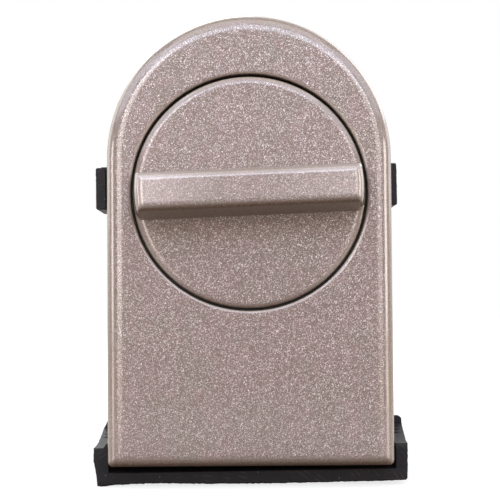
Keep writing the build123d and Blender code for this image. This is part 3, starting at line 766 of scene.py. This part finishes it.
# %% Copy the jaw
def merged_copy(node):
    """A copy of a model piece's mesh with its loose triangles joined into whole faces."""
    merge_distance, flat_angle = 0.002 * mm, math.radians(0.4)
    shape = bmesh.new()
    shape.from_mesh(nodes[node].data)
    bmesh.ops.remove_doubles(shape, verts=shape.verts[:], dist=merge_distance)
    bmesh.ops.dissolve_limit(
        shape, angle_limit=flat_angle, use_dissolve_boundaries=False,
        verts=shape.verts[:], edges=shape.edges[:],
    )
    return shape


jaw = merged_copy("moving_jaw")
print("jaw has", len(jaw.faces), "whole faces")

# %% Cut points into its edges
def slice_faces(shape, axis, places, wanted):
    """Cut the wanted faces by planes across an axis, so that their edges get new points."""
    across = Vector((0, 0, 0))
    across[axis] = 1
    for place in places:
        faces = [face for face in shape.faces if wanted(face.calc_center_median())]
        edges = {edge for face in faces for edge in face.edges}
        points = {point for face in faces for point in face.verts}
        bmesh.ops.bisect_plane(
            shape, geom=[*faces, *edges, *points], dist=1e-8, plane_co=across * place, plane_no=across
        )


def steps(first, last, step):
    """Evenly spaced numbers."""
    return [first + step * index for index in range(int((last - first) / step) + 1)]


side_spacing, foot_spacing = 0.33 * mm, 0.25 * mm
tray_top, foot_top = 7.4 * mm, 1.2 * mm
ear_low, ear_high, ear_inside = 32 * mm, 40 * mm, 16.8 * mm
side_cuts = steps(0.4 * mm, 4.4 * mm, side_spacing)
foot_cuts = steps(jaw_low.x + foot_spacing, jaw_high.x, foot_spacing)
slice_faces(jaw, 2, side_cuts, lambda middle: middle.z < tray_top)
slice_faces(jaw, 0, foot_cuts, lambda middle: middle.z < foot_top)
slice_faces(
    jaw, 2, steps(ear_low, ear_high, side_spacing),
    lambda middle: ear_low < middle.z < ear_high and abs(middle.x) > ear_inside,
)
print("jaw has", len(jaw.faces), "faces")

# %% [markdown]
# ## Broken front edges
# A moulding's edge is never knife sharp, and a narrow worn border catches the light. A bevel on
# every edge would also round the hidden ones, so only the faces that look forward get a border,
# which is then pushed back a little.

# %% Break the front edges
tray_front = jaw_low.y
ear_front = cover_front + 6.6 * mm


def break_front_edges(shape, depth, border, setback):
    """Give the faces that look forward at a depth a narrow border that slopes back."""
    front = [
        face for face in shape.faces
        if face.normal.y < -0.99 and abs(face.calc_center_median().y - depth) < 0.05 * mm
    ]
    rim = bmesh.ops.inset_region(
        shape, faces=front, thickness=border, use_even_offset=True, use_boundary=True
    )
    inner = {point for face in front for point in face.verts}
    outer = {point for face in rim["faces"] for point in face.verts} - inner
    bmesh.ops.translate(shape, verts=list(outer), vec=(0, setback, 0))
    return outer


tray_edge = break_front_edges(jaw, tray_front, 0.09 * mm, 0.05 * mm)
ear_edge = break_front_edges(jaw, ear_front, 0.08 * mm, 0.05 * mm)
print("edge points: tray", len(tray_edge), "ears", len(ear_edge))

# %% [markdown]
# ## Ragged edges
# The knife cut a little deeper in some places than in others. Two waves of noise, a long one and
# a short one, say how deep, and the points of the outer edges move inwards by that much. They
# never move outwards, so the jaw stays within the model.

# %% Draw the edges inwards
def ragged(place, seed):
    """How far trimming cut in here, from 0 to 1, in waves of two lengths."""
    slow = noise.noise(Vector((place / (1.4 * mm), seed, 0)))
    fast = noise.noise(Vector((place / (0.35 * mm), seed, 7)))
    return min(max(0.45 + 0.7 * slow + 0.9 * fast, 0), 1)


side_waver, foot_waver = 0.075 * mm, 0.09 * mm
wall_outside, wall_top = 18.0 * mm, 5 * mm
ear_outside = 17.9 * mm
trimmed_depth = cover_front + 8 * mm
foot_height = 0.6 * mm
moved = 0
for point in jaw.verts:
    at = point.co
    side = math.copysign(1, at.x)
    on_wall = abs(at.x) > wall_outside and at.z < wall_top
    on_ear = abs(at.x) > ear_outside and at.z > ear_low
    near_front = at.y < trimmed_depth
    if near_front and (on_wall or on_ear):
        at.x -= side * side_waver * ragged(at.z, 3 * side)
        moved += 1
    if near_front and at.z < foot_height:
        at.z += foot_waver * ragged(at.x, 11)
        moved += 1
print("moved", moved, "points by up to", foot_waver / mm, "mm")

# %% [markdown]
# ## A leftover of flash
# At the top of the left wall the knife missed some flash, a thin leaf of plastic that stands up
# beside the cover. It is an outline drawn from the front and given a depth. It belongs to the
# jaw's moulding, so it goes into the same mesh.

# %% Leave some flash
def add_flash(shape, outline, front, depth):
    """A small flat leftover: an outline of (x, z) points in millimetres that runs back."""
    points = [shape.verts.new((x * mm, front, z * mm)) for x, z in outline]
    face = shape.faces.new(points)
    pushed = bmesh.ops.extrude_face_region(shape, geom=[face])
    far_points = [item for item in pushed["geom"] if isinstance(item, bmesh.types.BMVert)]
    bmesh.ops.translate(shape, verts=far_points, vec=(0, depth, 0))


left_wall_flash = (
    (-17.58, 4.20), (-17.48, 4.55), (-17.34, 4.66), (-17.20, 4.94), (-17.06, 5.04), (-16.92, 5.10),
    (-16.86, 1.5), (-17.2, 1.4),
)
add_flash(jaw, left_wall_flash, tray_front - 0.01 * mm, 0.9 * mm)
print("flash rises to", max(height for across, height in left_wall_flash), "mm")

# %% [markdown]
# ## Put the jaw in its place
# The finished moulding rides on the sliding body and stands for the model's plain jaw. Its faces
# are shaded smooth, but edges sharper than about thirty degrees stay crisp, as on a moulding.

# %% Put the jaw in place
crease_angle = math.radians(32)


def place_piece(shape, name, body, node, finish):
    """Make a finished piece from a bmesh: it rides on a body and stands for a model piece."""
    bmesh.ops.recalc_face_normals(shape, faces=shape.faces[:])
    mesh = bpy.data.meshes.new(name)
    shape.to_mesh(mesh)
    shape.free()
    for face in mesh.polygons:
        face.use_smooth = True
    mesh.set_sharp_from_angle(angle=crease_angle)
    mesh.materials.append(finish)
    piece = bpy.data.objects.new(name, mesh)
    bpy.context.scene.collection.objects.link(piece)
    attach(piece, body)
    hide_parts(node)
    print(name, len(mesh.polygons), "faces")
    return piece


place_piece(jaw, "jaw_moulding", "jaw_set", "moving_jaw", nylon)

# %% [markdown]
# ## Return springs
# Each spring is drawn from round wire and closed at both ends: there the turns touch, and between
# them they stand apart. A curve with a bevel could follow the same path, but its points would
# have to be worked out one by one. It is simpler to spin a circle of the wire's size round the
# guide while it climbs. That takes three goes, because the climb is steeper in the middle, and
# each goes on from the last ring of the one before. The springs ride on the lock's frame.

# %% Spring sizes
wire_radius = 0.25 * mm
coil_radius = 2.55 * mm
closed_pitch = 0.53 * mm
open_turns = 2.5
steps_per_turn = 32
wire_sides = 10
guide_middle = sum(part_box("guide_sleeve_right"), Vector()) / 2
spring_low, spring_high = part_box("return_spring_right")
spring_length = spring_high.y - spring_low.y
spring_rise = spring_length - 2 * wire_radius
open_pitch = (spring_rise - 2 * closed_pitch) / open_turns

# %% Coil the springs
for side, name in ((-1, "left"), (1, "right")):
    centre = Vector((side * guide_middle.x, 0, guide_middle.z))
    coil = bmesh.new()
    start = Matrix.Translation(centre + Vector((coil_radius, spring_low.y + wire_radius, 0)))
    bmesh.ops.create_circle(coil, segments=wire_sides, radius=wire_radius, matrix=start)
    last = coil.verts[:] + coil.edges[:]
    for turns, pitch in ((1, closed_pitch), (open_turns, open_pitch), (1, closed_pitch)):
        spun = bmesh.ops.spin(
            coil, geom=last, cent=centre, axis=(0, 1, 0), dvec=(0, pitch / steps_per_turn, 0),
            angle=math.tau * turns, steps=int(turns * steps_per_turn), use_merge=False,
        )
        last = spun["geom_last"]
    bmesh.ops.holes_fill(coil, edges=coil.edges[:], sides=wire_sides + 2)
    spring = place_piece(
        coil, f"coil_spring_{name}", "lock_frame", f"return_spring_{name}", spring_wire
    )
    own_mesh(spring)
